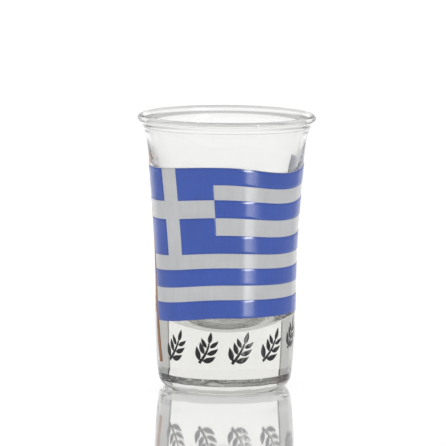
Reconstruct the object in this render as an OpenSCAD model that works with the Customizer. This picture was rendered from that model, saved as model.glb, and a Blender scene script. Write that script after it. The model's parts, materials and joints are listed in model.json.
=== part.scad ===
/* [Glass] */
// Height from the table to the top of the rim
glass_h = 73; // [60:0.5:90]
// Diameter over the bead of the rim
rim_d = 47.5; // [42:0.5:58]
// Diameter of the body below the waist, where its wall stands upright
body_d = 37.4; // [31:0.1:46]
// Height of the waist, where the wall starts to lean out
waist_z = 37.5; // [30:0.5:42]
// Length over which the wall bends at the waist
bend_h = 8; // [4:1:16]
// How far the wall draws in from the waist down to the heel
heel_draw = 0.95; // [0:0.05:2]
// Radius of the rounded heel
heel_r = 3.1; // [2:0.1:4]
// Share of the rim's spread that the wall leans out before it turns out to the lip
flare_share = 0.6; // [0.4:0.01:0.8]
// Thickness of the rounded bead on the lip
bead_d = 2; // [1.6:0.1:2.6]

/* [Cavity and base] */
// Thickness of the solid base under the middle of the cavity
base_h = 15.3; // [8:0.1:20]
// How much larger the radius of the cavity's round floor is than the cavity's own
floor_over = 5.6; // [2:0.1:12]
// Radius of the corner between the cavity's floor and its wall
floor_r = 4; // [2:0.5:8]
// Wall thickness of the body
body_wall = 2.1; // [1.6:0.1:3]
// Wall thickness just under the lip
lip_wall = 1; // [0.8:0.1:1.6]
// Height over which the wall thins out
thin_h = 16; // [6:1:20]
// Distance from the top of the rim down to where the wall is thin
thin_top = 5.5; // [3:0.5:8]
// Width of the flat ring that the glass stands on
foot_w = 2.4; // [1:0.1:4]
// Depth of the hollow under the base
punt_h = 1; // [0.4:0.1:2]

/* [Flag print] */
// Clear glass between the rim and the flag
rim_clear = 12; // [9:0.5:16]
// Width of one square unit of the canton
unit_w = 5; // [4:0.05:6]
// Length of the flag from the pole to its free edge
flag_w = 65; // [50:1:76]
// Distance from the middle of the design to the canton's inner edge
canton_s = -2.3; // [-6:0.1:2]
// Heights of the nine stripes from the top down, as shares of their sum
stripe_shares = [4.6, 4, 4.8, 4.7, 4.8, 3.9, 4.6, 3.9, 4.9];
// Lean of the flag's upright edges in degrees
flag_lean = 3; // [0:0.5:8]
// Drop of the top edge towards the pole
hoist_dip = 1.5; // [0:0.1:3]
// Drop of the bottom edge towards the pole
hoist_sag = 2.2; // [0:0.1:3]
// Depth of the wave in the top edge towards the free edge
fly_dip = 2.1; // [0:0.1:3]
// Length of the wave on the pole's side
hoist_wave = 49; // [40:1:60]
// Length of the wave on the free side
fly_wave = 38; // [28:1:50]
// Share of that wave after which the top edge runs level to the free edge
fly_hold = 0.8; // [0.6:0.05:1]

/* [Pole print] */
// Width of the pole
pole_w = 2.1; // [1.5:0.1:3]
// Lean of the pole in degrees
pole_lean = 8.7; // [0:0.1:12]
// Height of the pole's foot above the table
pole_foot = 7.3; // [5:0.1:10]
// How far the pole's tip stands above the flag's corner
pole_tip = 0.8; // [0:0.1:3]

/* [Sprig prints] */
// Height of one sprig
sprig_h = 8.4; // [6:0.1:10]
// Height of the sprigs' foot line above the table
sprig_foot = 8.5; // [6:0.1:10]
// Distance from one sprig to the next
sprig_pitch = 9.45; // [8:0.05:11]
// Place of the first sprig from the middle of the design
sprig_start = -14.3; // [-18:0.1:-10]
// Rise of the foot line towards the last sprigs
sprig_rise = 3; // [0:0.1:3.2]
// Gap between the sprigs and the flag
flag_gap = 3.95; // [3.4:0.05:8]
// Pairs of leaves on a sprig
leaf_pairs = 3; // [2:1:4]
// Length of a leaf
leaf_l = 3.8; // [2:0.1:4.4]
// Width of a leaf
leaf_w = 1.5; // [0.8:0.05:1.6]
// Width of a stem
stem_w = 0.85; // [0.4:0.05:1.2]

/* [Enamel] */
// Thickness of the white ground
white_t = 0.06; // [0.04:0.01:0.12]
// Thickness of the blue, brown and black colours
colour_t = 0.06; // [0.04:0.01:0.12]
// Clearance between a layer and what lies under it
layer_gap = 0.02; // [0.02:0.005:0.04]
// Width of the hairline between neighbouring colours
hairline = 0.05; // [0.03:0.01:0.2]

/* [Hidden] */
$fn = 96;
// Curves of the wall: sharp turn at the lip, draw-in to the heel
turn_power = 14.5;
draw_power = 4.3;
// Body and rim
body_r = body_d / 2;
bead_r = bead_d / 2;
bead_s = rim_d / 2 - bead_r;
bead_z = glass_h - bead_r;
// The wall meets the bead this far below the level of its centre, in degrees
bead_turn = 50;
// The cavity's wall meets the bead this far round from its outermost point, in degrees
lip_turn = 150;
lip_r = bead_s + bead_r * cos(bead_turn);
lip_z = bead_z - bead_r * sin(bead_turn);
lean_out = (lip_r - body_r) * flare_share;
turn_out = (lip_r - body_r) * (1 - flare_share);
wall_step = 2;
arc_step = 15;
// Where the inner wall runs into the bead
inner_top = lip_z - 1.6;
foot_out = body_r - heel_draw - heel_r;
foot_in = foot_out - foot_w;
// Print areas
flag_foot = sprig_foot + sprig_h + flag_gap;
flag_top = glass_h - rim_clear;
flag_h = flag_top - flag_foot;
flag_mid = (flag_top + flag_foot) / 2;
hoist_s = canton_s - 5 * unit_w;
flag_start = hoist_s + pole_w / 2 + hairline;
flag_end = hoist_s + flag_w;
cross_left = canton_s - 3 * unit_w;
cross_right = canton_s - 2 * unit_w;
// Largest width of a print facet
print_step = 1.4;
hoist_cols = ceil((cross_left - flag_start) / print_step);
cross_cols = ceil(unit_w / print_step);
canton_cols = ceil(2 * unit_w / print_step);
fly_cols = ceil((flag_end - canton_s) / print_step);
// Column numbers of the canton's upright edges
col_left = hoist_cols;
col_right = col_left + cross_cols;
col_canton = col_right + canton_cols;
col_end = col_canton + fly_cols;
stripe_sum = stripe_shares * [for (share = stripe_shares) 1];
colour_lift = layer_gap;
blue_lift = layer_gap + white_t + layer_gap;
sprig_leans = [34, 28, 32, 37, 30, 34];
sprig_bows = [0.4, 0.5, 0.35, 0.55, 0.4, 0.5];

// Radius of the glass's outside at a height above the heel
function bend(z) = (z - waist_z + norm([z - waist_z, bend_h])) / 2;
function rise_at(z) = max(0, z - waist_z) / (lip_z - waist_z);
function draw_at(z) = min(1, max(0, waist_z - z) / (waist_z - heel_r));
function outer_r(z) =
    body_r + lean_out * bend(z) / bend(lip_z) + turn_out * pow(rise_at(z), turn_power)
    - heel_draw * pow(draw_at(z), draw_power);

// Smooth step from 0 to 1
function ease(t) = (1 - cos(180 * max(0, min(1, t)))) / 2;
function wall_at(z) = body_wall - (body_wall - lip_wall) * ease((z - glass_h + thin_top + thin_h) / thin_h);
function inner_r(z) = outer_r(z) - wall_at(z);
function arc(x, z, r, from, to) =
    let (n = max(2, ceil(abs(to - from) / arc_step)))
    [for (i = [0:n]) let (a = from + (to - from) * i / n) [x + r * cos(a), z + r * sin(a)]];
function steps(from, to, n) = [for (i = [0:n]) from + (to - from) * i / n];

// Half section of the glass, from the middle of the foot round to the middle of the floor
function glass_section() =
    let (
        cavity_r = inner_r(base_h + floor_r),
        bowl_r = cavity_r + floor_over,
        corner_s = cavity_r - floor_r,
        corner_turn = acos(corner_s / (bowl_r - floor_r)),
        corner_z = base_h + bowl_r - (bowl_r - floor_r) * sin(corner_turn),
        bowl_arc = arc(0, base_h + bowl_r, bowl_r, -corner_turn, -90),
        wall_n = ceil((lip_z - heel_r) / wall_step),
        cavity_n = ceil((inner_top - corner_z) / wall_step)
    )
    concat(
        [for (t = steps(0, 1, 8)) [foot_in * t, punt_h * ease(1 - t)]],
        arc(foot_out, heel_r, heel_r, -90, 0),
        [for (i = [1:wall_n - 1]) let (z = heel_r + (lip_z - heel_r) * i / wall_n) [outer_r(z), z]],
        arc(bead_s, bead_z, bead_r, -bead_turn, 0),
        arc(bead_s, bead_z, bead_r, 0, 90),
        arc(bead_s, bead_z, bead_r, 90, lip_turn),
        [for (i = [0:cavity_n - 1])
            let (z = inner_top + (corner_z - inner_top) * i / cavity_n) [inner_r(z), z]],
        arc(corner_s, corner_z, floor_r, 0, -corner_turn),
        [for (i = [1:len(bowl_arc) - 2]) bowl_arc[i]],
        [[0, base_h]]
    );

// A point on the outside, at arc length s from the middle of the design
function on_glass(s, z, lift) =
    let (a = s / body_r * 180 / PI, r = outer_r(z) + lift) [r * sin(a), -r * cos(a), z];

// Waves of the flag: v runs from 0 at the bottom edge to 1 at the top edge
function hump(s, wave, hold) = (1 - cos(360 * min(hold, abs(s) / wave))) / 2;
function flag_z(s, v) =
    flag_foot + flag_h * v - (s < 0
        ? (hoist_dip * v + hoist_sag * (1 - v)) * hump(s, hoist_wave, 1)
        : fly_dip * v * hump(s, fly_wave, fly_hold));
function pole_s(z) = hoist_s - tan(pole_lean) * (z - flag_mid);
// The flag's upright edges turn from the pole's lean to their own over two units
function hoist_pull(s) = pow(max(0, 1 - (s - flag_start) / (2 * unit_w)), 2);
function flag_point(s, v) =
    let (z = flag_z(s, v), pull = hoist_pull(s))
    [s - (z - flag_mid) * (tan(flag_lean) * (1 - pull) + tan(pole_lean) * pull), z];
function stripe_v(k) = 1 - (k == 0 ? 0 : stripe_shares * [for (i = [0:8]) i < k ? 1 : 0] / stripe_sum);

// Columns and rows of the flag's net, with a line on every edge between colours
flag_cols = concat(
    [for (i = [0:hoist_cols - 1]) flag_start + (cross_left - flag_start) * i / hoist_cols],
    [for (i = [0:cross_cols - 1]) cross_left + unit_w * i / cross_cols],
    [for (i = [0:canton_cols - 1]) cross_right + 2 * unit_w * i / canton_cols],
    steps(canton_s, flag_end, fly_cols)
);
flag_net = [for (k = [9:-1:0]) [for (s = flag_cols) flag_point(s, stripe_v(k))]];

// Cells of the net inside one or more blocks [first column, last column, upper stripe, lower stripe]
function in_block(i, stripe, b) = i >= b[0] && i < b[1] && stripe >= b[2] && stripe <= b[3];
function in_blocks(i, stripe, blocks) = len([for (b = blocks) if (in_block(i, stripe, b)) 1]) > 0;
function flag_mask(blocks) =
    [for (j = [0:8]) [for (i = [0:col_end - 1]) in_blocks(i, 9 - j, blocks)]];
function full_mask(net) = [for (j = [0:len(net) - 2]) [for (i = [0:len(net[0]) - 2]) true]];

// A skin of enamel over the marked cells of a net of [s, z] points
module enamel(net, mask, lift, thick) {
    rows = len(net) - 1;
    cols = len(net[0]) - 1;
    layer = (rows + 1) * (cols + 1);
    function at(i, j) = j * (cols + 1) + i;
    function under(i, j) = layer + at(i, j);
    function open(i, j) = i < 0 || i >= cols || j < 0 || j >= rows || !mask[j][i];
    function wall(a, b, c, d) = [[a, b, c], [a, c, d]];
    points = [for (h = [lift + thick, lift]) for (row = net) for (p = row) on_glass(p[0], p[1], h)];
    faces = [for (j = [0:rows - 1]) for (i = [0:cols - 1]) if (!open(i, j)) each concat(
        wall(at(i, j), at(i, j + 1), at(i + 1, j + 1), at(i + 1, j)),
        wall(under(i + 1, j + 1), under(i, j + 1), under(i, j), under(i + 1, j)),
        open(i, j - 1) ? wall(at(i, j), at(i + 1, j), under(i + 1, j), under(i, j)) : [],
        open(i, j + 1) ? wall(at(i + 1, j + 1), at(i, j + 1), under(i, j + 1), under(i + 1, j + 1)) : [],
        open(i - 1, j) ? wall(at(i, j + 1), at(i, j), under(i, j), under(i, j + 1)) : [],
        open(i + 1, j) ? wall(at(i + 1, j), at(i + 1, j + 1), under(i + 1, j + 1), under(i + 1, j)) : []
    )];
    polyhedron(points, faces);
}

module blue(blocks) {
    color("#3c55b0") enamel(flag_net, flag_mask(blocks), blue_lift, colour_t);
}

// A brush stroke along a path of [s, z, half width] points
function across(a, b) = let (d = [b[0] - a[0], b[1] - a[1]]) [d[1], -d[0]] / norm(d);
function stroke_net(path) =
    let (n = len(path) - 1)
    [for (i = [0:n])
        let (side = across(path[max(0, i - 1)], path[min(n, i + 1)]), p = path[i])
        [for (k = [-1:1]) [p[0] + side[0] * p[2] * k, p[1] + side[1] * p[2] * k]]];
module stroke(path) {
    net = stroke_net(path);
    enamel(net, full_mask(net), colour_lift, colour_t);
}

// Stem line of a sprig: t runs from 0 at its foot to 1 under its end leaf
stem_share = 0.64;
stem_h = sprig_h * stem_share;
function sprig_s(n) = sprig_start + (n - 1) * sprig_pitch;
function sprig_z(n) = sprig_foot + sprig_rise * ease((n - 3.6) / 1.6);
function stem_at(n, t) =
    [
        sprig_s(n) + tan(sprig_leans[n - 1]) * (stem_h * t - sprig_h / 2) + sprig_bows[n - 1] * sin(180 * t),
        sprig_z(n) + stem_h * t
    ];
function stem_turn(n, t) = let (d = stem_at(n, t + 0.01) - stem_at(n, t - 0.01)) atan2(d[0], d[1]);

// Half widths of a leaf from its root to its point, along a line that curls back a little
leaf_steps = 6;
leaf_point = 0.08;
leaf_curl = 0.25;
function leaf_path(root, angle, length, width) =
    [for (t = steps(0, 1, leaf_steps))
        let (a = angle * (1 - leaf_curl * t))
        [
            root[0] + length * t * sin(a),
            root[1] + length * t * cos(a),
            leaf_point + (width / 2 - leaf_point) * sin(180 * pow(t, 0.8))
        ]];
leaf_angle = 56;
leaf_gap = 0.12;
// Each pair is this much smaller than the pair under it
leaf_taper = 0.12;
tip_width = 0.8;
module sprig(n) {
    color("#2b2b2e") {
        stroke([for (t = steps(0, 1, 8)) let (p = stem_at(n, t)) [p[0], p[1], stem_w / 2 * (1 - 0.45 * t)]]);
        for (k = [1:leaf_pairs], side = [-1, 1]) {
            t = (k - 0.6 + 0.1 * side) / leaf_pairs;
            size = 1 - leaf_taper * (k - 1);
            turn = stem_turn(n, t);
            root = stem_at(n, t) + side * (stem_w / 2 + leaf_gap) * [cos(turn), -sin(turn)];
            stroke(leaf_path(root, turn + side * leaf_angle, leaf_l * size, leaf_w * size));
        }
        turn = stem_turn(n, 1);
        tip = stem_at(n, 1) + leaf_gap * [sin(turn), cos(turn)];
        stroke(leaf_path(tip, turn, (sprig_h - stem_h - leaf_gap) / cos(turn), leaf_w * tip_width));
    }
}

module glass_body() {
    color("#dfe6e6", 0.4) rotate_extrude() polygon(glass_section());
}
module white_flag_ground() {
    color("#e4e6ea") enamel(flag_net, full_mask(flag_net), colour_lift, white_t);
}
module blue_canton_upper_hoist() {
    blue([[0, col_left, 1, 2]]);
}
module blue_canton_upper_fly() {
    blue([[col_right, col_canton, 1, 2], [col_canton, col_end, 1, 1]]);
}
module blue_canton_lower_hoist() {
    blue([[0, col_left, 4, 5]]);
}
module blue_canton_lower_fly() {
    blue([[col_right, col_canton, 4, 5], [col_canton, col_end, 5, 5]]);
}
module blue_middle_stripe() {
    blue([[col_canton, col_end, 3, 3]]);
}
module blue_seventh_stripe() {
    blue([[0, col_end, 7, 7]]);
}
module blue_bottom_stripe() {
    blue([[0, col_end, 9, 9]]);
}
module flagpole() {
    pole_top = flag_z(flag_start, 1) + pole_tip;
    color("#96704c") stroke([for (z = steps(pole_foot, pole_top, 14)) [pole_s(z), z, pole_w / 2]]);
}

glass_body();
white_flag_ground();
blue_canton_upper_hoist();
blue_canton_upper_fly();
blue_canton_lower_hoist();
blue_canton_lower_fly();
blue_middle_stripe();
blue_seventh_stripe();
blue_bottom_stripe();
flagpole();
sprig(1);  // sprig_1
sprig(2);  // sprig_2
sprig(3);  // sprig_3
sprig(4);  // sprig_4
sprig(5);  // sprig_5
sprig(6);  // sprig_6
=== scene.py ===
"""Looks of a flared, heavy-based shot glass with a fired enamel band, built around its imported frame."""
import json
import math

import bpy
from bpy.props import FloatProperty, FloatVectorProperty, IntProperty, PointerProperty
from bpy.types import Operator, Panel, PropertyGroup
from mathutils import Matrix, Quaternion, Vector

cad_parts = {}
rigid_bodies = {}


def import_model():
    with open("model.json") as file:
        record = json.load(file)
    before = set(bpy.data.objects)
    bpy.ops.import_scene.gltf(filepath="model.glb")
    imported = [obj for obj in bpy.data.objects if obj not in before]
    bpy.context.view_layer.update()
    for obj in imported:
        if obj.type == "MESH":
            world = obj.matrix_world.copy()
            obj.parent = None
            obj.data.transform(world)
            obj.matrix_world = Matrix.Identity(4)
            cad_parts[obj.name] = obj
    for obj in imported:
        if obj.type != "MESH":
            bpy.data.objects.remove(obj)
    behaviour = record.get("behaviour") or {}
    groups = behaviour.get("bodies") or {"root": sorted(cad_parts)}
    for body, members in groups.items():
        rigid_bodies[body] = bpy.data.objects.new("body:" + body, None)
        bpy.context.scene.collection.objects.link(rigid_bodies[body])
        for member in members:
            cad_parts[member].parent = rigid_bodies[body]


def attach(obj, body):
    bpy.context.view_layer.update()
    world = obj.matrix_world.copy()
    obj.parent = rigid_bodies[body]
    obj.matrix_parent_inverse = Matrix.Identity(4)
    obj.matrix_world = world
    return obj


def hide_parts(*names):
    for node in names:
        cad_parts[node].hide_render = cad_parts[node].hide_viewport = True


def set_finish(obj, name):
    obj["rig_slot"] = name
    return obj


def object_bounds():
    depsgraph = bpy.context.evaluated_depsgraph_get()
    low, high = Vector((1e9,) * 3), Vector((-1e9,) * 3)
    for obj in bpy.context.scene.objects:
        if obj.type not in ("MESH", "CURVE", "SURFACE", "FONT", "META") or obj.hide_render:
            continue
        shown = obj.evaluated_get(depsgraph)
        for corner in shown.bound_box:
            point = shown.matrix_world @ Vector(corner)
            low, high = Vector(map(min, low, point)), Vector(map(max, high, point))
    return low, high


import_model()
CAD_BOX = [list(corner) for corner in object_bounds()]
CAD_HEIGHT = CAD_BOX[1][2] - CAD_BOX[0][2]
CAD_RIM = 2 * min(-CAD_BOX[0][0], CAD_BOX[1][0])

bl_info = {
    "name": "Souvenir Shot Glass",
    "version": (1, 0, 0),
    "blender": (4, 5, 0),
    "location": "View3D > Sidebar > Shot Glass",
    "description": "Builds a flared shot glass with a fired enamel flag band and olive sprigs",
    "category": "Add Mesh",
}

MM = 0.001
BODY = "root"
# Heights of the nine stripes from the top down, as shares of their sum
SHARES = (4.6, 4.0, 4.8, 4.7, 4.8, 3.9, 4.6, 3.9, 4.9)
# Lean of each sprig in degrees, and the bow of its stem in millimetres
SPRIG_LEANS = (34, 28, 32, 37, 30, 34)
SPRIG_BOWS = (0.4, 0.5, 0.35, 0.55, 0.4, 0.5)
# Clear line between the pole and the flag
HAIRLINE = 0.05 * MM
# How far below the bead's lower edge the inner wall starts to run into it
LIP_RUN = 1.6 * MM
# Height of an enamel's border, as a share of its thickness
BORDER_SHARE = 0.92
# Rows of a flag's net may be this much further apart than its columns
ROW_STRETCH = 1.6
# Half the angle over which the lit wall fades out at its ends
SOFT_END = math.radians(1)
# The room on the camera's side turns into the sides between these shares of straight ahead
FRONT_TO_SIDES = (-0.6, -0.2)
# Elevations between which the lit wall gives way to the room over it, and that to the ceiling
WALL_TOP = (math.radians(14), math.radians(19))
CEILING_FOOT = (math.radians(35), math.radians(60))


def length(name, text, default, low=0.0, high=0.2):
    """A size in metres, shown in the scene's units."""
    return FloatProperty(name=name, description=text, default=default, min=low, max=high,
                         unit="LENGTH", subtype="DISTANCE", precision=5)


def angle(name, text, degrees):
    """An angle, shown in degrees."""
    return FloatProperty(name=name, description=text, default=math.radians(degrees), subtype="ANGLE")


def number(name, text, default, low=0.0, high=100.0):
    """A plain number."""
    return FloatProperty(name=name, description=text, default=default, min=low, max=high)


def colour(name, text, default):
    """A colour without alpha."""
    return FloatVectorProperty(name=name, description=text, default=default, size=3,
                               min=0.0, max=1.0, subtype="COLOR")


# ---------------------------------------------------------------- sizes and colours

class GlassSizes(PropertyGroup):
    height: length("Height", "From the table to the top of the rim", CAD_HEIGHT)
    rim_diameter: length("Rim diameter", "Over the bead of the rim", CAD_RIM)
    body_diameter: length("Body diameter", "Below the waist, where the wall is upright", 37.4 * MM)
    waist_height: length("Waist height", "Where the wall starts to lean out", 37.5 * MM)
    bend_length: length("Bend length", "Length over which the wall bends at the waist", 8 * MM)
    heel_draw: length("Heel draw", "How far the wall draws in down to the heel", 0.95 * MM)
    heel_radius: length("Heel radius", "Radius of the rounded heel", 3.1 * MM)
    flare_share: number("Flare share", "Share of the rim's spread before the lip turns out", 0.6)
    turn_power: number("Lip turn", "How suddenly the wall turns out to the lip", 14.5)
    draw_power: number("Heel curve", "How suddenly the wall draws in to the heel", 4.3)
    bead_thickness: length("Bead", "Thickness of the rounded bead on the lip", 2 * MM)
    bead_turn: angle("Bead turn", "Angle on the bead where the outer wall meets it", 50)
    lip_turn: angle("Lip turn-in", "Angle on the bead where the inner wall meets it", 150)
    base_thickness: length("Base", "Solid glass under the middle of the cavity", 15.3 * MM)
    floor_radius: length("Floor corner", "Radius between the cavity's floor and wall", 4 * MM)
    floor_over: length("Floor over", "How much larger the round floor's radius is than the cavity's",
                       5.6 * MM)
    body_wall: length("Body wall", "Wall thickness of the body", 2.1 * MM)
    lip_wall: length("Lip wall", "Wall thickness just under the lip", 1 * MM)
    thin_length: length("Thinning", "Height over which the wall thins out", 16 * MM)
    thin_top: length("Thin from", "From the rim down to where the wall is thin", 5.5 * MM)
    foot_width: length("Foot ring", "Width of the flat ring the glass stands on", 2.4 * MM)
    punt_depth: length("Punt", "Depth of the hollow under the base", 1 * MM)
    turns: IntProperty(name="Segments", description="Segments round the glass", default=256, min=32)


class PrintSizes(PropertyGroup):
    rim_clear: length("Clear band", "Clear glass between the rim and the flag", 12 * MM)
    unit_width: length("Canton unit", "Width of one square unit of the canton", 5 * MM)
    flag_length: length("Flag length", "From the pole to the flag's free edge", 65 * MM)
    canton_offset: length("Canton edge", "From the middle of the design to the canton's inner edge",
                          -2.3 * MM, low=-0.02)
    flag_lean: angle("Flag lean", "Lean of the flag's upright edges", 3)
    hoist_dip: length("Hoist dip", "Drop of the top edge towards the pole", 1.5 * MM)
    hoist_sag: length("Hoist sag", "Drop of the bottom edge towards the pole", 2.2 * MM)
    fly_dip: length("Fly dip", "Depth of the wave in the top edge towards the free edge", 2.1 * MM)
    hoist_wave: length("Hoist wave", "Length of the wave on the pole's side", 49 * MM)
    fly_wave: length("Fly wave", "Length of the wave on the free side", 38 * MM)
    fly_hold: number("Fly hold", "Share of that wave after which the top edge runs level", 0.8)
    pole_width: length("Pole width", "Width of the pole", 2.1 * MM)
    pole_lean: angle("Pole lean", "Lean of the pole", 8.7)
    pole_foot: length("Pole foot", "Height of the pole's foot above the table", 7.3 * MM)
    pole_tip: length("Pole tip", "How far the pole's tip stands above the flag's corner", 0.8 * MM)
    sprig_height: length("Sprig height", "Height of one sprig", 8.4 * MM)
    sprig_foot: length("Sprig foot", "Height of the sprigs' foot line", 8.5 * MM)
    sprig_pitch: length("Sprig pitch", "From one sprig to the next", 9.45 * MM)
    sprig_start: length("First sprig", "Place of the first sprig from the middle", -14.3 * MM, low=-0.03)
    sprig_rise: length("Sprig rise", "Rise of the foot line towards the last sprigs", 3 * MM)
    flag_gap: length("Flag gap", "Gap between the sprigs and the flag", 3.95 * MM)
    leaf_pairs: IntProperty(name="Leaf pairs", description="Pairs of leaves on a sprig", default=3, min=1)
    leaf_length: length("Leaf length", "Length of a leaf", 3.8 * MM)
    leaf_width: length("Leaf width", "Width of a leaf", 1.5 * MM)
    stem_width: length("Stem width", "Width of a stem", 0.85 * MM)
    stem_share: number("Stem share", "Share of a sprig's height that its stem takes", 0.64)
    leaf_angle: angle("Leaf angle", "Angle between a leaf and its stem", 56)
    registration: length("Registration", "How far the blue lies below its place on the white", 0.12 * MM)
    white_thickness: length("White layer", "Height of the white ground over the glass", 0.06 * MM)
    colour_thickness: length("Colour layer", "Height of a colour over what it lies on", 0.05 * MM)
    sink: length("Fusing", "How far an enamel is fused into what it lies on", 0.015 * MM)
    fine_step: length("Fine step", "Largest step between points of a print", 0.5 * MM)


class EnamelColours(PropertyGroup):
    glass: colour("Glass", "Tint of the glass", (0.957, 0.958, 0.951))
    depth: colour("Depth", "Colour that thick glass takes", (0.9775, 0.977, 0.972))
    white: colour("White", "White enamel", (0.88, 0.89, 0.91))
    blue: colour("Blue", "Blue enamel", (0.08, 0.165, 0.67))
    brown: colour("Brown", "Brown enamel of the pole", (0.44, 0.20, 0.09))
    black: colour("Black", "Black enamel of the sprigs", (0.022, 0.022, 0.026))
    floor: colour("Floor", "Pale table top", (0.55, 0.55, 0.55))


class StageSettings(PropertyGroup):
    camera_distance: length("Camera distance", "From the glass's axis, along the table", 1.298, high=10.0)
    camera_height: length("Camera height", "Above the table", 0.2114, high=5.0)
    aim_height: length("Aim height", "Height that the camera aims at", 43.7 * MM)
    aim_side: length("Aim side", "Sideways place that the camera aims at", -0.77 * MM, low=-0.1)
    camera_roll: angle("Camera roll", "Turn of the camera about its own line of sight", 0.474)
    lens: number("Lens", "Focal length in millimetres on a 36 mm sensor", 395.85, high=2000)
    backdrop: number("Backdrop light", "Brightness of the lit wall behind the glass", 1.0)
    sides: number("Side light", "Brightness of the room at the sides", 0.42)
    front: number("Front light", "Brightness of the room on the camera's side", 0.53)
    upper: number("Upper light", "Brightness of the room above the lit wall, all round", 0.64)
    ceiling: number("Ceiling light", "Brightness of the room overhead", 0.42)
    backdrop_half: angle("Backdrop half width", "Half of the angle that the lit wall takes up", 43)
    gap_light: number("Gap light", "Brightness of the dark gap at each end of the lit wall", 0.05)
    gap_width: angle("Gap width", "Width of that gap", 1.6)
    air_gap: length("Air gap", "Air between the foot of the glass and the table", 0.02 * MM)
    floor_shine: number("Floor shine", "Share of the light that the polished table mirrors", 0.75, high=1.0)
    floor_size: length("Floor size", "Side of the table top", 80.0, high=200.0)
    strip_power: number("Strip light", "Brightness of the tall strip light", 620.0, high=1000.0)
    strip_side: angle("Strip side", "How far to the right of the camera the strip light stands", 43)


# ---------------------------------------------------------------- shapes

def ease(t):
    """Smooth step from 0 to 1."""
    return (1 - math.cos(math.pi * max(0.0, min(1.0, t)))) / 2


def steps(low, high, n):
    """Places that cut the way from low to high into n equal steps."""
    return [low + (high - low) * i / n for i in range(n + 1)]


def arc(x, z, r, low, high, step=math.radians(6)):
    """Points of an arc about (x, z) from one angle to another."""
    n = max(2, math.ceil(abs(high - low) / step))
    return [(x + r * math.cos(a), z + r * math.sin(a)) for a in steps(low, high, n)]


class Wall:
    """Radius of the glass's outside and inside at a height."""

    def __init__(self, sizes):
        self.sizes = sizes
        self.body_r = sizes.body_diameter / 2
        self.bead_r = sizes.bead_thickness / 2
        self.bead_s = sizes.rim_diameter / 2 - self.bead_r
        self.bead_z = sizes.height - self.bead_r
        self.lip_r = self.bead_s + self.bead_r * math.cos(sizes.bead_turn)
        self.lip_z = self.bead_z - self.bead_r * math.sin(sizes.bead_turn)
        self.spread = self.lip_r - self.body_r

    def bend(self, z):
        """Rounded corner that turns the upright wall into the leaning one."""
        over = z - self.sizes.waist_height
        return (over + math.hypot(over, self.sizes.bend_length)) / 2

    def outer(self, z):
        """Radius of the outside at a height above the heel."""
        s = self.sizes
        over = z - s.waist_height
        lean = s.flare_share * self.bend(z) / self.bend(self.lip_z)
        rise = max(0.0, over) / (self.lip_z - s.waist_height)
        turn = (1 - s.flare_share) * rise ** s.turn_power
        drawn = min(1.0, max(0.0, -over) / (s.waist_height - s.heel_radius))
        return self.body_r + self.spread * (lean + turn) - s.heel_draw * drawn ** s.draw_power

    def inner(self, z):
        """Radius of the cavity at a height above its floor's corner."""
        s = self.sizes
        thinned = ease((z - s.height + s.thin_top + s.thin_length) / s.thin_length)
        return self.outer(z) - s.body_wall + (s.body_wall - s.lip_wall) * thinned

    def section(self):
        """Half section of the glass, from the middle of the foot round to the middle of the floor."""
        s = self.sizes
        foot_out = self.body_r - s.heel_draw - s.heel_radius
        foot_in = foot_out - s.foot_width
        corner = s.floor_radius
        corner_s = self.inner(s.base_thickness + corner) - corner
        bowl = corner_s + corner + s.floor_over
        turn = math.acos(corner_s / (bowl - corner))
        corner_z = s.base_thickness + bowl - (bowl - corner) * math.sin(turn)
        inner_top = self.lip_z - LIP_RUN
        wall = 0.5 * MM
        outer_n = math.ceil((self.lip_z - s.heel_radius) / wall)
        inner_n = math.ceil((inner_top - corner_z) / wall)
        points = [(foot_in * t, s.punt_depth * ease(1 - t)) for t in steps(0, 1, 24)]
        points += arc(foot_out, s.heel_radius, s.heel_radius, -math.pi / 2, 0)
        points += [(self.outer(z), z) for z in steps(s.heel_radius, self.lip_z, outer_n)[1:-1]]
        points += arc(self.bead_s, self.bead_z, self.bead_r, -s.bead_turn, 0)
        points += arc(self.bead_s, self.bead_z, self.bead_r, 0, s.lip_turn)[1:]
        points += self.lip_blend(inner_top)
        points += [(self.inner(z), z) for z in steps(inner_top, corner_z, inner_n)[:-1]]
        points += arc(corner_s, corner_z, corner, 0, -turn)
        points += arc(0, s.base_thickness + bowl, bowl, -turn, -math.pi / 2, math.radians(2))[1:-1]
        return points + [(0, s.base_thickness)]

    def lip_blend(self, inner_top):
        """Smooth curve from the inside of the bead down to the inner wall."""
        turn = self.sizes.lip_turn
        start = Vector((self.bead_s + self.bead_r * math.cos(turn),
                        self.bead_z + self.bead_r * math.sin(turn)))
        end = Vector((self.inner(inner_top), inner_top))
        short = 0.1 * MM
        slope = (self.inner(inner_top) - self.inner(inner_top - short)) / short
        reach = (start - end).length * 0.4
        pull_in = start + Vector((-math.sin(turn), math.cos(turn))) * reach
        pull_out = end + Vector((slope, 1)).normalized() * reach
        curve = []
        for t in steps(0, 1, 8)[1:-1]:
            point = (start * (1 - t) ** 3 + pull_in * 3 * t * (1 - t) ** 2
                     + pull_out * 3 * t * t * (1 - t) + end * t ** 3)
            curve.append((point.x, point.y))
        return curve


def add_mesh(name, shape, material, slot, nodes):
    """A smooth shaded piece that rides on the glass and stands for the CAD nodes named."""
    points, faces, backing = shape
    mesh = bpy.data.meshes.new(name)
    mesh.from_pydata(points, [], faces)
    mesh.validate()
    mesh.polygons.foreach_set("use_smooth", [True] * len(mesh.polygons))
    mesh.attributes.new("backing", "FLOAT", "POINT").data.foreach_set("value", backing)
    mesh.materials.append(material)
    piece = bpy.data.objects.new(name, mesh)
    bpy.context.scene.collection.objects.link(piece)
    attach(piece, BODY)
    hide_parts(*nodes)
    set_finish(piece, slot)


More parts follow.
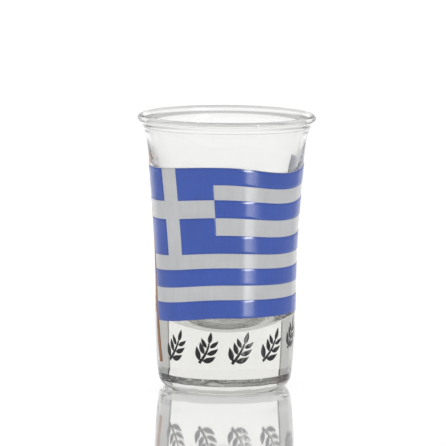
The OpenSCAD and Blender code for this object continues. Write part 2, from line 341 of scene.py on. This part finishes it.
def lathe(section, turns):
    """Points, faces and backing of a section turned round the upright axis; its ends lie on the axis."""
    ring = section[1:-1]
    points = [(0, 0, section[0][1]), (0, 0, section[-1][1])]
    for r, z in ring:
        points += [(r * math.cos(a), r * math.sin(a), z)
                   for a in (2 * math.pi * k / turns for k in range(turns))]
    faces = []
    last = len(ring) - 1
    for k in range(turns):
        after = (k + 1) % turns
        faces.append((0, 2 + after, 2 + k))
        faces.append((1, 2 + last * turns + k, 2 + last * turns + after))
        for j in range(last):
            low, high = 2 + j * turns, 2 + (j + 1) * turns
            faces.append((low + k, low + after, high + after, high + k))
    return points, faces, [0.0] * len(points)


class Band:
    """Places prints on the outside of the glass: s runs round it from the middle of the design, z up."""

    def __init__(self, wall, sizes):
        self.wall = wall
        self.sizes = sizes
        self.flag_foot = sizes.sprig_foot + sizes.sprig_height + sizes.flag_gap
        self.flag_top = wall.sizes.height - sizes.rim_clear
        self.flag_mid = (self.flag_top + self.flag_foot) / 2
        self.hoist = sizes.canton_offset - 5 * sizes.unit_width
        self.start = self.hoist + sizes.pole_width / 2 + HAIRLINE
        self.end = self.hoist + sizes.flag_length
        self.marks = [self.start, sizes.canton_offset - 3 * sizes.unit_width,
                      sizes.canton_offset - 2 * sizes.unit_width, sizes.canton_offset, self.end]

    def point(self, s, z, lift):
        """Point of space over the place (s, z) of the outside."""
        a = s / self.wall.body_r
        r = self.wall.outer(z) + lift
        return r * math.sin(a), -r * math.cos(a), z

    def flag_z(self, s, v):
        """Height of the flag's place (s, v), where v runs from 0 at its bottom edge to 1 at its top."""
        p = self.sizes
        level = self.flag_foot + (self.flag_top - self.flag_foot) * v
        if s < 0:
            return level - (p.hoist_dip * v + p.hoist_sag * (1 - v)) * self.hump(s, p.hoist_wave, 1)
        return level - p.fly_dip * v * self.hump(s, p.fly_wave, p.fly_hold)

    def hump(self, s, wave, hold):
        """Depth of a wave at a place, from 0 at its ends to 1 in its middle."""
        return (1 - math.cos(2 * math.pi * min(hold, abs(s) / wave))) / 2

    def flag_point(self, s, v):
        """The flag's place (s, v) as (s, z), with the lean of its upright edges."""
        z = self.flag_z(s, v)
        pull = max(0.0, 1 - (s - self.start) / (2 * self.sizes.unit_width)) ** 2
        lean = math.tan(self.sizes.flag_lean) * (1 - pull) + math.tan(self.sizes.pole_lean) * pull
        return s - (z - self.flag_mid) * lean, z

    def pole_s(self, z):
        """Place of the pole's middle line at a height."""
        return self.hoist - math.tan(self.sizes.pole_lean) * (z - self.flag_mid)


def stripe_v(k):
    """Height of the line under the k-th stripe from the top, as a share of the flag."""
    return 1 - sum(SHARES[:k]) / sum(SHARES)


def spread_out(marks, step):
    """Places from the first mark to the last through each, at most a step apart, and each one's span."""
    places, spans = [marks[0]], []
    for number_of_span, (low, high) in enumerate(zip(marks, marks[1:])):
        n = math.ceil((high - low) / step - 1e-6)
        places += steps(low, high, n)[1:]
        spans += [number_of_span] * n
    return places, spans


def enamel(band, net, mask, lift, thick, sink, behind=None):
    """Points, faces and backing of an enamel skin over the marked cells of a net of (s, z) points.

    Its outer face dips at the border of the print, as fired ink does. Backing is 1 at the points of
    the inner face where another colour lies behind the skin and shows through it."""
    rows, cols = len(net) - 1, len(net[0]) - 1

    def shut(i, j):
        return 0 <= i < cols and 0 <= j < rows and mask(i, j)

    points, faces, backing, index = [], [], [], {}
    beside = ((0, -1), (1, 0), (0, 1), (-1, 0))

    def at(i, j, upper):
        key = (i, j, upper)
        if key not in index:
            around = all(shut(i + a, j + b) for a in (-1, 0) for b in (-1, 0))
            rise = (lift + thick if around else lift + BORDER_SHARE * thick) if upper else lift - sink
            index[key] = len(points)
            points.append(band.point(*net[j][i], rise))
            shows = not upper and around and behind is not None
            backing.append(float(shows and all(behind(i + a, j + b) for a in (-1, 0) for b in (-1, 0))))
        return index[key]

    for j in range(rows):
        for i in range(cols):
            if not shut(i, j):
                continue
            corner = [(i, j), (i + 1, j), (i + 1, j + 1), (i, j + 1)]
            faces.append([at(*c, True) for c in corner])
            faces.append([at(*c, False) for c in reversed(corner)])
            for (a, b), (di, dj) in zip(zip(corner, corner[1:] + corner[:1]), beside):
                if not shut(i + di, j + dj):
                    faces.append([at(*b, True), at(*a, True), at(*a, False), at(*b, False)])
    return points, faces, backing


def stroke_net(path, across_n=4):
    """Net of a brush stroke along a path of (s, z, half width) points."""
    net = []
    last = len(path) - 1
    for i, (s, z, half) in enumerate(path):
        before, after = path[max(0, i - 1)], path[min(last, i + 1)]
        along = Vector((after[0] - before[0], after[1] - before[1])).normalized()
        net.append([(s + along.y * half * k, z - along.x * half * k) for k in steps(-1, 1, across_n)])
    return net


def join(parts):
    """Points, faces and backing of several closed skins as one."""
    points, faces, backing = [], [], []
    for more_points, more_faces, more_backing in parts:
        base = len(points)
        points += more_points
        faces += [[v + base for v in face] for face in more_faces]
        backing += more_backing
    return points, faces, backing


# ---------------------------------------------------------------- finishes

class Nodes:
    """Short way to build a node tree: each call adds a node, sets its values and links its inputs."""

    def __init__(self, tree):
        self.tree = tree
        tree.nodes.clear()

    def add(self, kind, settings=None, **inputs):
        node = self.tree.nodes.new(kind)
        for name, value in (settings or {}).items():
            setattr(node, name, value)
        for name, value in inputs.items():
            socket = node.inputs[int(name[1:])] if name[0] == "i" and name[1:].isdigit() \
                else node.inputs[name.replace("_", " ")]
            if isinstance(value, bpy.types.NodeSocket):
                self.tree.links.new(value, socket)
            else:
                socket.default_value = value
        return node


def new_material(name):
    """A node material with an empty tree, and the tree's builder."""
    material = bpy.data.materials.new(name)
    material.use_nodes = True
    return material, Nodes(material.node_tree)


def rgba(c, k=1.0):
    """A colour with alpha, made k times as bright."""
    return (*(min(1.0, x * k) for x in c), 1.0)


def clear_glass(tint, body, foot):
    """Soda-lime glass with faint waves, ripples in its heel and a dulled, stippled underside."""
    material, n = new_material("clear_glass")
    place = n.add("ShaderNodeTexCoord").outputs["Object"]
    squash = n.add("ShaderNodeMapping", Vector=place, Scale=(1.0, 1.0, 0.45))
    waves = n.add("ShaderNodeTexNoise", Vector=squash.outputs[0], Scale=130.0, Detail=1.5, Roughness=0.4)
    film = n.add("ShaderNodeTexNoise", Vector=place, Scale=420.0, Detail=5.0, Roughness=0.6)
    smear = n.add("ShaderNodeMapRange", Value=film.outputs["Fac"], i1=0.45, i2=0.75, i3=0.0, i4=0.022)
    bump = n.add("ShaderNodeBump", Strength=0.12, Distance=0.0004, Height=waves.outputs["Fac"])
    part = n.add("ShaderNodeSeparateXYZ", Vector=place)
    flat = n.add("ShaderNodeCombineXYZ", X=part.outputs["X"], Y=part.outputs["Y"])
    from_axis = n.add("ShaderNodeVectorMath", {"operation": "LENGTH"}, i0=flat.outputs[0])
    inward = n.add("ShaderNodeMapRange", Value=from_axis.outputs["Value"], i1=foot - 0.1 * MM, i2=foot,
                   i3=1.0, i4=0.0)
    low = n.add("ShaderNodeMapRange", Value=part.outputs["Z"], i1=1.5 * MM, i2=2 * MM, i3=1.0, i4=0.0)
    under = n.add("ShaderNodeMath", {"operation": "MULTIPLY"}, i0=inward.outputs[0], i1=low.outputs[0])
    ripples = n.add("ShaderNodeTexNoise", Vector=place, Scale=240.0, Detail=1.0, Roughness=0.4)
    heel = n.add("ShaderNodeMapRange", Value=part.outputs["Z"], i1=2.2 * MM, i2=4.2 * MM, i3=1.0, i4=0.0)
    uneven = n.add("ShaderNodeMath", {"operation": "MULTIPLY"}, i0=ripples.outputs["Fac"], i1=heel.outputs[0])
    chilled = n.add("ShaderNodeBump", Strength=0.5, Distance=0.001, Height=uneven.outputs[0],
                    Normal=bump.outputs[0])
    rough = n.add("ShaderNodeMix", {"data_type": "FLOAT"}, Factor=under.outputs[0])
    n.tree.links.new(smear.outputs[0], rough.inputs[2])
    stipple = n.add("ShaderNodeTexNoise", Vector=place, Scale=500.0, Detail=2.0)
    dull = n.add("ShaderNodeMapRange", Value=stipple.outputs["Fac"], i1=0.35, i2=0.65, i3=0.25, i4=0.6)
    n.tree.links.new(dull.outputs[0], rough.inputs[3])
    glass = n.add("ShaderNodeBsdfPrincipled", Base_Color=rgba(tint), Roughness=rough.outputs[0],
                  IOR=1.5, Transmission_Weight=1.0, Normal=chilled.outputs[0])
    depth = n.add("ShaderNodeVolumeAbsorption", Color=rgba(body), Density=200.0)
    n.add("ShaderNodeOutputMaterial", Surface=glass.outputs[0], Volume=depth.outputs[0])
    return material


def fired_enamel(name, base, grain=1.0, rough=(0.27, 0.32), streak=0.35,
                 through=(0.5, 0.54, 0.78)):
    """Screen-printed enamel: ink density that drifts, drag marks, fine tooth, rare pinholes, fired gloss."""
    material, n = new_material(name)
    place = n.add("ShaderNodeTexCoord").outputs["Object"]
    drift = n.add("ShaderNodeTexNoise", Vector=place, Scale=130.0, Detail=3.0, Roughness=0.5)
    tooth = n.add("ShaderNodeTexNoise", Vector=place, Scale=2200.0, Detail=2.0, Roughness=0.5)
    pulled = n.add("ShaderNodeMapping", Vector=place, Scale=(1.0, 1.0, 0.12))
    drag = n.add("ShaderNodeTexNoise", Vector=pulled.outputs[0], Scale=900.0, Detail=3.0, Roughness=0.6)
    density = n.add("ShaderNodeMix", {"data_type": "FLOAT"}, Factor=streak)
    n.tree.links.new(drift.outputs["Fac"], density.inputs[2])
    n.tree.links.new(drag.outputs["Fac"], density.inputs[3])
    tone = n.add("ShaderNodeMapRange", Value=density.outputs[0], i1=0.35, i2=0.65)
    ink = n.add("ShaderNodeMix", {"data_type": "RGBA"}, Factor=tone.outputs[0])
    ink.inputs[6].default_value = rgba(base, 0.94)
    ink.inputs[7].default_value = rgba(base, 1.06)
    holes = n.add("ShaderNodeTexVoronoi", {"feature": "F1"}, Vector=place, Scale=700.0)
    hole = n.add("ShaderNodeMapRange", Value=holes.outputs["Distance"], i1=0.05, i2=0.10, i3=0.3, i4=0.0)
    rare = n.add("ShaderNodeMapRange", Value=drift.outputs["Fac"], i1=0.55, i2=0.62)
    pin = n.add("ShaderNodeMath", {"operation": "MULTIPLY"}, i0=hole.outputs[0], i1=rare.outputs[0])
    spotted = n.add("ShaderNodeMix", {"data_type": "RGBA"}, Factor=pin.outputs[0])
    n.tree.links.new(ink.outputs[2], spotted.inputs[6])
    spotted.inputs[7].default_value = rgba([0.5 * (x + 0.5) for x in base])
    backing = n.add("ShaderNodeAttribute", {"attribute_name": "backing"})
    seen = n.add("ShaderNodeMix", {"data_type": "RGBA"}, Factor=backing.outputs["Fac"])
    n.tree.links.new(spotted.outputs[2], seen.inputs[6])
    seen.inputs[7].default_value = rgba(through)
    gloss = n.add("ShaderNodeMapRange", Value=tooth.outputs["Fac"], i1=0.3, i2=0.7, i3=rough[0], i4=rough[1])
    bump = n.add("ShaderNodeBump", Strength=0.04 * grain, Distance=0.0001, Height=tooth.outputs["Fac"])
    skin = n.add("ShaderNodeBump", Strength=0.1 * grain, Distance=0.0002,
                 Height=drag.outputs["Fac"], Normal=bump.outputs[0])
    around = n.add("ShaderNodeTangent", {"direction_type": "RADIAL", "axis": "Z"})
    coat = n.add("ShaderNodeBsdfPrincipled", Base_Color=seen.outputs[2], Roughness=gloss.outputs[0],
                 IOR=1.5, Normal=skin.outputs[0], Anisotropic=1.0, Anisotropic_Rotation=0.25,
                 Tangent=around.outputs[0])
    n.add("ShaderNodeOutputMaterial", Surface=coat.outputs[0])
    return material


def table_top(base, shine):
    """Pale polished table top that mirrors what stands on it."""
    material, n = new_material("pale_table")
    place = n.add("ShaderNodeTexCoord").outputs["Object"]
    cloud = n.add("ShaderNodeTexNoise", Vector=place, Scale=6.0, Detail=4.0)
    rough = n.add("ShaderNodeMapRange", Value=cloud.outputs["Fac"], i1=0.3, i2=0.7, i3=0.03, i4=0.045)
    under = n.add("ShaderNodeBsdfDiffuse", Color=rgba(base))
    polish = n.add("ShaderNodeBsdfGlossy", Color=rgba((shine,) * 3), Roughness=rough.outputs[0])
    top = n.add("ShaderNodeAddShader", i0=under.outputs[0], i1=polish.outputs[0])
    n.add("ShaderNodeOutputMaterial", Surface=top.outputs[0])
    return material


# ---------------------------------------------------------------- operators

def sizes_of(context):
    """The wall, the band of print on it, the print's sizes and the colours."""
    scene = context.scene
    wall = Wall(scene.glass_sizes)
    return wall, Band(wall, scene.print_sizes), scene.print_sizes, scene.enamel_colours


def flag_skin(band, sizes, blocks, lift, thick, drop=0.0, over=()):
    """An enamel skin over blocks of the flag: (first span, last span, upper stripe, lower stripe)."""
    cols, col_span = spread_out(band.marks, sizes.fine_step)
    edges = [stripe_v(k) for k in range(9, -1, -1)]
    row_step = sizes.fine_step * ROW_STRETCH / (band.flag_top - band.flag_foot)
    rows, row_span = spread_out(edges, row_step)
    net = [[(x, z - drop) for x, z in (band.flag_point(s, v) for s in cols)] for v in rows]

    def inside(i, j, group):
        stripe = 9 - row_span[j]
        return any(a <= col_span[i] <= b and up <= stripe <= low for a, b, up, low in group)

    return enamel(band, net, lambda i, j: inside(i, j, blocks), lift, thick, sizes.sink,
                  lambda i, j: inside(i, j, over))


class SHOTGLASS_OT_glass(Operator):
    """Turn the glass body with its bead, heavy base and punt"""
    bl_idname = "shotglass.glass"
    bl_label = "Glass Body"

    def execute(self, context):
        wall, _, _, colours = sizes_of(context)
        foot = wall.body_r - wall.sizes.heel_draw - wall.sizes.heel_radius
        glass = clear_glass(colours.glass, colours.depth, foot)
        add_mesh("glass_body_lathe", lathe(wall.section(), wall.sizes.turns), glass,
                 "clear_glass", ["glass_body"])
        return {"FINISHED"}


# Blocks of the flag that each blue piece covers: first span, last span, upper stripe, lower stripe
BLUE_FIELDS = {
    "blue_canton_upper_hoist": [(0, 0, 1, 2)],
    "blue_canton_upper_fly": [(2, 2, 1, 2), (3, 3, 1, 1)],
    "blue_canton_lower_hoist": [(0, 0, 4, 5)],
    "blue_canton_lower_fly": [(2, 2, 4, 5), (3, 3, 5, 5)],
    "blue_middle_stripe": [(3, 3, 3, 3)],
    "blue_seventh_stripe": [(0, 3, 7, 7)],
    "blue_bottom_stripe": [(0, 3, 9, 9)],
}


class SHOTGLASS_OT_ground(Operator):
    """Lay the white ground of the flag"""
    bl_idname = "shotglass.ground"
    bl_label = "White Ground"

    def execute(self, context):
        _, band, sizes, colours = sizes_of(context)
        blue = [block for blocks in BLUE_FIELDS.values() for block in blocks]
        skin = flag_skin(band, sizes, [(0, 3, 1, 9)], 0.0, sizes.white_thickness, over=blue)
        white = fired_enamel("white_enamel", colours.white)
        add_mesh("white_ground_skin", skin, white, "white_enamel", ["white_flag_ground"])
        return {"FINISHED"}


class SHOTGLASS_OT_blue_fields(Operator):
    """Lay the blue quarters and stripes over the white ground"""
    bl_idname = "shotglass.blue_fields"
    bl_label = "Blue Fields"

    def execute(self, context):
        _, band, sizes, colours = sizes_of(context)
        blue = fired_enamel("blue_enamel", colours.blue)
        for node, blocks in BLUE_FIELDS.items():
            skin = flag_skin(band, sizes, blocks, sizes.white_thickness, sizes.colour_thickness,
                             sizes.registration)
            add_mesh(node + "_skin", skin, blue, "blue_enamel", [node])
        return {"FINISHED"}


class SHOTGLASS_OT_flagpole(Operator):
    """Lay the brown flagpole"""
    bl_idname = "shotglass.flagpole"
    bl_label = "Flagpole"

    def execute(self, context):
        _, band, sizes, colours = sizes_of(context)
        path = [(band.pole_s(z), z, sizes.pole_width / 2)
                for z in steps(sizes.pole_foot, band.flag_z(band.start, 1) + sizes.pole_tip, 100)]
        net = stroke_net(path, 6)
        skin = enamel(band, net, lambda i, j: True, 0.0, sizes.colour_thickness, sizes.sink)
        brown = fired_enamel("brown_enamel", colours.brown, grain=1.5, rough=(0.5, 0.6), streak=0.7)
        add_mesh("flagpole_skin", skin, brown, "brown_enamel", ["flagpole"])
        return {"FINISHED"}


def stem_at(sizes, n, t):
    """Place on the stem of the n-th sprig, where t runs from 0 at its foot to 1 at its end."""
    rise = sizes.sprig_height * sizes.stem_share * t
    lean = math.tan(math.radians(SPRIG_LEANS[n])) * (rise - sizes.sprig_height / 2)
    s = sizes.sprig_start + n * sizes.sprig_pitch + lean + SPRIG_BOWS[n] * MM * math.sin(math.pi * t)
    return Vector((s, sizes.sprig_foot + sizes.sprig_rise * ease((n - 2.6) / 1.6) + rise))


def stem_turn(sizes, n, t):
    """Lean of the stem at a place."""
    near = 0.01
    step = stem_at(sizes, n, t + near) - stem_at(sizes, n, t - near)
    return math.atan2(step.x, step.y)


def leaf_path(root, turn, leaf_length, width, point=0.05 * MM, curl=0.25):
    """Brush stroke of a leaf that straightens up along its length."""
    path = []
    for t in steps(0, 1, 16):
        a = turn * (1 - curl * t)
        half = point + (width / 2 - point) * math.sin(math.pi * t ** 0.8)
        path.append((root.x + leaf_length * t * math.sin(a), root.y + leaf_length * t * math.cos(a), half))
    return path


def sprig_paths(sizes, n):
    """Brush strokes of one sprig: its stem, its pairs of leaves and its end leaf."""
    stem = []
    for t in steps(0, 1, 20):
        place = stem_at(sizes, n, t)
        stem.append((place.x, place.y, sizes.stem_width / 2 * (1 - 0.45 * t)))
    yield stem
    for k in range(sizes.leaf_pairs):
        for side in (-1, 1):
            t = (k + 0.4 + 0.1 * side) / sizes.leaf_pairs
            size = 1 - 0.12 * k
            turn = stem_turn(sizes, n, t)
            root = (stem_at(sizes, n, t)
                    + side * sizes.stem_width * 0.45 * Vector((math.cos(turn), -math.sin(turn))))
            yield leaf_path(root, turn + side * sizes.leaf_angle,
                            sizes.leaf_length * size, sizes.leaf_width * size)
    turn = stem_turn(sizes, n, 1)
    tip_length = sizes.sprig_height * (1 - sizes.stem_share) / math.cos(turn)
    yield leaf_path(stem_at(sizes, n, 1), turn, tip_length, sizes.leaf_width * 0.8)


class SHOTGLASS_OT_sprigs(Operator):
    """Brush the row of olive sprigs under the flag"""
    bl_idname = "shotglass.sprigs"
    bl_label = "Olive Sprigs"

    def execute(self, context):
        _, band, sizes, colours = sizes_of(context)
        black = fired_enamel("black_enamel", colours.black, grain=1.2, rough=(0.29, 0.36))
        for n in range(len(SPRIG_LEANS)):
            skins = [enamel(band, stroke_net(path), lambda i, j: True, 0.0,
                            sizes.colour_thickness, sizes.sink)
                     for path in sprig_paths(sizes, n)]
            add_mesh(f"olive_sprig_{n + 1}", join(skins), black, "black_enamel", [f"sprig_{n + 1}"])
        return {"FINISHED"}


class SHOTGLASS_OT_stage(Operator):
    """Set the table, the soft room light and the camera"""
    bl_idname = "shotglass.stage"
    bl_label = "Stage"

    def execute(self, context):
        settings = context.scene.stage_settings
        self.add_table(context, settings)
        self.add_room(context, settings)
        self.add_strip(context, settings)
        self.add_camera(context, settings)
        context.scene.view_settings.view_transform = "Standard"
        paths = context.scene.cycles
        paths.max_bounces = 32
        paths.glossy_bounces = 16
        paths.transmission_bounces = 32
        return {"FINISHED"}

    def add_table(self, context, settings):
        """A square table top just under the foot of the glass."""
        half = settings.floor_size / 2
        mesh = bpy.data.meshes.new("table_top")
        under = -settings.air_gap
        mesh.from_pydata([(x * half, y * half, under) for x, y in ((-1, -1), (1, -1), (1, 1), (-1, 1))],
                         [], [(0, 1, 2, 3)])
        mesh.materials.append(table_top(context.scene.enamel_colours.floor, settings.floor_shine))
        table = bpy.data.objects.new("table_top", mesh)
        context.scene.collection.objects.link(table)

    def add_room(self, context, settings):
        """A low wall of light behind the glass, dark gaps at its ends and a soft, dimmer room round it."""
        world = bpy.data.worlds.new("studio")
        world.use_nodes = True
        context.scene.world = world
        n = Nodes(world.node_tree)
        way = n.add("ShaderNodeTexCoord").outputs["Generated"]
        part = n.add("ShaderNodeSeparateXYZ", Vector=way)
        flat = n.add("ShaderNodeCombineXYZ", X=part.outputs["X"], Y=part.outputs["Y"])
        level = n.add("ShaderNodeVectorMath", {"operation": "NORMALIZE"}, i0=flat.outputs[0])
        ahead = n.add("ShaderNodeSeparateXYZ", Vector=level.outputs[0])
        half = settings.backdrop_half

        def smooth(value, low, high, before, after):
            """Brightness that turns from one to another while a value goes from low to high."""
            step = n.add("ShaderNodeMapRange", {"interpolation_type": "SMOOTHSTEP"},
                         Value=value, i1=low, i2=high)
            mix = n.add("ShaderNodeMix", {"data_type": "FLOAT"}, Factor=step.outputs[0])
            for socket, light in ((mix.inputs[2], before), (mix.inputs[3], after)):
                if isinstance(light, bpy.types.NodeSocket):
                    n.tree.links.new(light, socket)
                else:
                    socket.default_value = light
            return mix.outputs[0]

        room = smooth(ahead.outputs["Y"], *FRONT_TO_SIDES, settings.front, settings.sides)
        round_about = smooth(ahead.outputs["Y"], math.cos(half + SOFT_END), math.cos(half - SOFT_END),
                             room, settings.backdrop)
        aside = n.add("ShaderNodeMath", {"operation": "SUBTRACT"}, i0=ahead.outputs["Y"],
                      i1=math.cos(half))
        off = n.add("ShaderNodeMath", {"operation": "ABSOLUTE"}, i0=aside.outputs[0])
        gap = settings.gap_width * math.sin(half) / 2
        faded = 1.6 * gap
        round_about = smooth(off.outputs[0], gap, faded, settings.gap_light, round_about)
        higher = smooth(part.outputs["Z"], *(math.sin(a) for a in WALL_TOP), round_about, settings.upper)
        light = smooth(part.outputs["Z"], *(math.sin(a) for a in CEILING_FOOT), higher, settings.ceiling)
        glow = n.add("ShaderNodeBackground", Color=(1.0, 1.0, 1.0, 1.0), Strength=light)
        n.add("ShaderNodeOutputWorld", Surface=glow.outputs[0])

    def add_strip(self, context, settings):
        """A tall strip light that shows only in the gloss of the pieces, as a streak down the print."""
        far, low, high, wide = 2.0, 0.6, 1.8, 0.05
        a = settings.strip_side
        lamp = bpy.data.lights.new("strip_light", "AREA")
        lamp.shape = "RECTANGLE"
        lamp.size, lamp.size_y = wide, high - low
        lamp.energy = settings.strip_power * math.pi * wide * (high - low)
        strip = bpy.data.objects.new("strip_light", lamp)
        context.scene.collection.objects.link(strip)
        strip.location = (far * math.sin(a), -far * math.cos(a), (low + high) / 2)
        strip.rotation_mode = "QUATERNION"
        strip.rotation_quaternion = Vector((-math.sin(a), math.cos(a), 0)).to_track_quat("-Z", "Z")
        receivers = bpy.data.collections.new("strip_receivers")
        for piece in [obj for obj in context.scene.objects if "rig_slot" in obj]:
            receivers.objects.link(piece)
        strip.light_linking.receiver_collection = receivers
        strip.visible_diffuse = False
        strip.visible_transmission = False
        strip.visible_camera = False

    def add_camera(self, context, settings):
        """A long lens a little above the rim, aimed at the print."""
        camera = bpy.data.objects.new("camera", bpy.data.cameras.new("camera"))
        context.scene.collection.objects.link(camera)
        camera.data.sensor_width = 36.0
        camera.data.lens = settings.lens
        camera.data.clip_start = 0.05
        camera.data.clip_end = 200.0
        camera.location = (0.0, -settings.camera_distance, settings.camera_height)
        aim = Vector((settings.aim_side, 0.0, settings.aim_height)) - camera.location
        camera.rotation_mode = "QUATERNION"
        camera.rotation_quaternion = (aim.to_track_quat("-Z", "Y")
                                      @ Quaternion((0.0, 0.0, 1.0), settings.camera_roll))
        context.scene.camera = camera


class SHOTGLASS_PT_panel(Panel):
    """Lists the pieces of the shot glass"""
    bl_idname = "SHOTGLASS_PT_panel"
    bl_label = "Shot Glass"
    bl_space_type = "VIEW_3D"
    bl_region_type = "UI"
    bl_category = "Shot Glass"

    def draw(self, context):
        for operator in PIECES:
            self.layout.operator(operator.bl_idname, text=operator.bl_label)


PIECES = (SHOTGLASS_OT_glass, SHOTGLASS_OT_ground, SHOTGLASS_OT_blue_fields, SHOTGLASS_OT_flagpole,
          SHOTGLASS_OT_sprigs, SHOTGLASS_OT_stage)
GROUPS = {"glass_sizes": GlassSizes, "print_sizes": PrintSizes, "enamel_colours": EnamelColours,
          "stage_settings": StageSettings}


def register():
    for group in GROUPS.values():
        bpy.utils.register_class(group)
    for name, group in GROUPS.items():
        setattr(bpy.types.Scene, name, PointerProperty(type=group))
    for cls in (*PIECES, SHOTGLASS_PT_panel):
        bpy.utils.register_class(cls)


def unregister():
    for cls in (SHOTGLASS_PT_panel, *reversed(PIECES)):
        bpy.utils.unregister_class(cls)
    for name in GROUPS:
        delattr(bpy.types.Scene, name)
    for group in reversed(list(GROUPS.values())):
        bpy.utils.unregister_class(group)


def main():
    register()
    bpy.ops.shotglass.glass()
    bpy.ops.shotglass.ground()
    bpy.ops.shotglass.blue_fields()
    bpy.ops.shotglass.flagpole()
    bpy.ops.shotglass.sprigs()
    bpy.ops.shotglass.stage()


if __name__ == "__main__":
    main()
